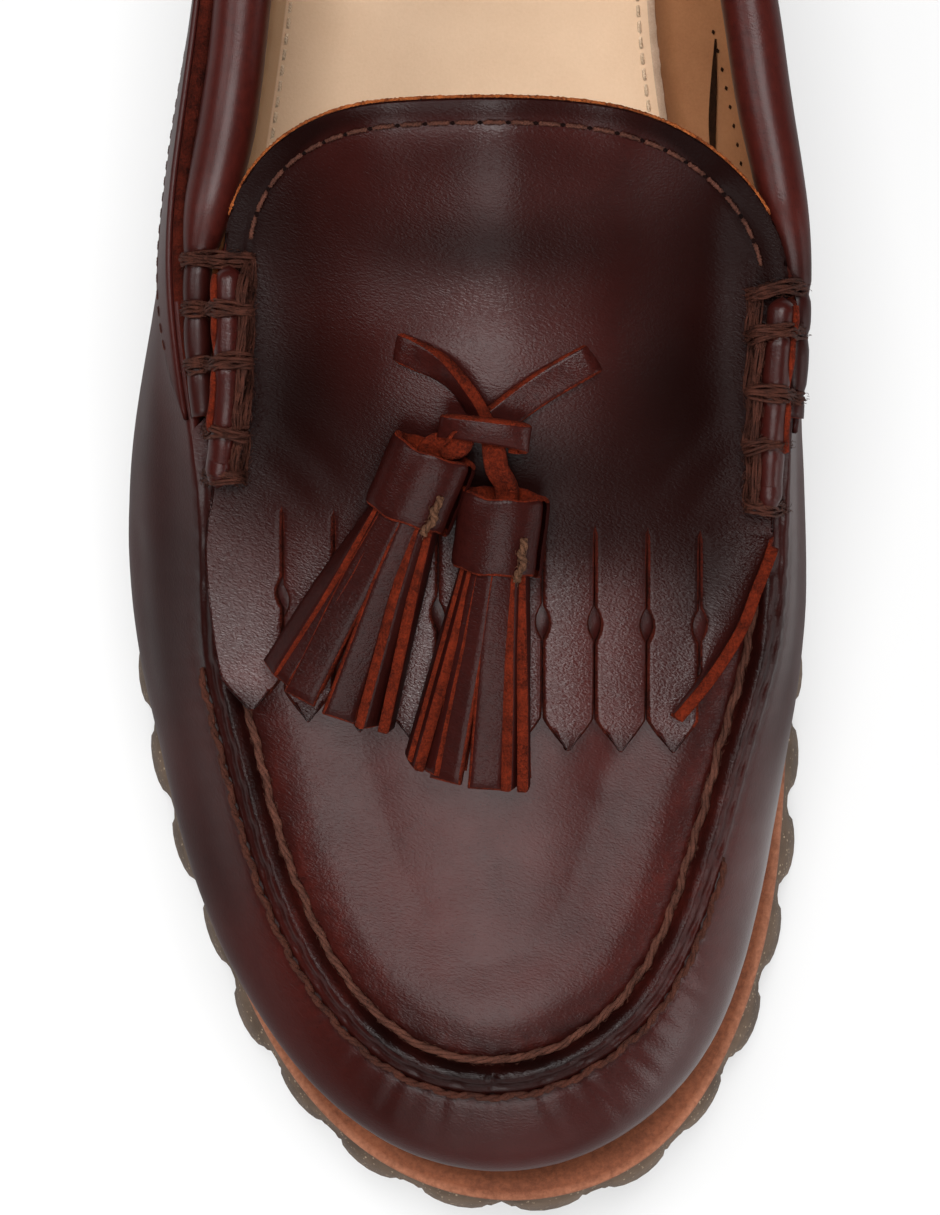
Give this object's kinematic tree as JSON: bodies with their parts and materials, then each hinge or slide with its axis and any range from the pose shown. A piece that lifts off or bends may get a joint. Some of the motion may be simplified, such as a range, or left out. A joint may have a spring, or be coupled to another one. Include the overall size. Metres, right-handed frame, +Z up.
{
  "type": "loafer",
  "caption": "Right-foot tassel loafer with a fringed flap, sewn apron seam, padded collar roll and lugged rubber sole; open at the collar, stands on its sole.",
  "frame": {"origin": "on the floor, under the middle of the shoe's length and width", "axes": "+Y from the toe to the heel, +X to the inner (medial) side of the foot, +Z up"},
  "size_m": [0.1068, 0.2993, 0.0878],
  "materials": {
    "upper_leather": "dark burgundy-brown waxed leather, semi-gloss, raw orange-red cut edges",
    "roll_leather": "dark burgundy-brown padded leather, glossy",
    "tassel_leather": "dark burgundy-brown leather, raw orange-red cut edges",
    "tan_leather": "tan lining leather, matte",
    "midsole_leather": "orange-brown sole leather, matte",
    "sole_rubber": "dark brown speckled rubber, matte"
  },
  "bodies": {
    "root": {"upper": "upper_leather", "kiltie": "upper_leather", "collar_roll": "roll_leather", "beefroll_lateral": "roll_leather", "beefroll_medial": "roll_leather", "tassel_lace": "tassel_leather", "tassel_lateral": "tassel_leather", "tassel_medial": "tassel_leather", "insole": "tan_leather", "midsole": "midsole_leather", "outsole": "sole_rubber"}
  },
  "joints": []
}
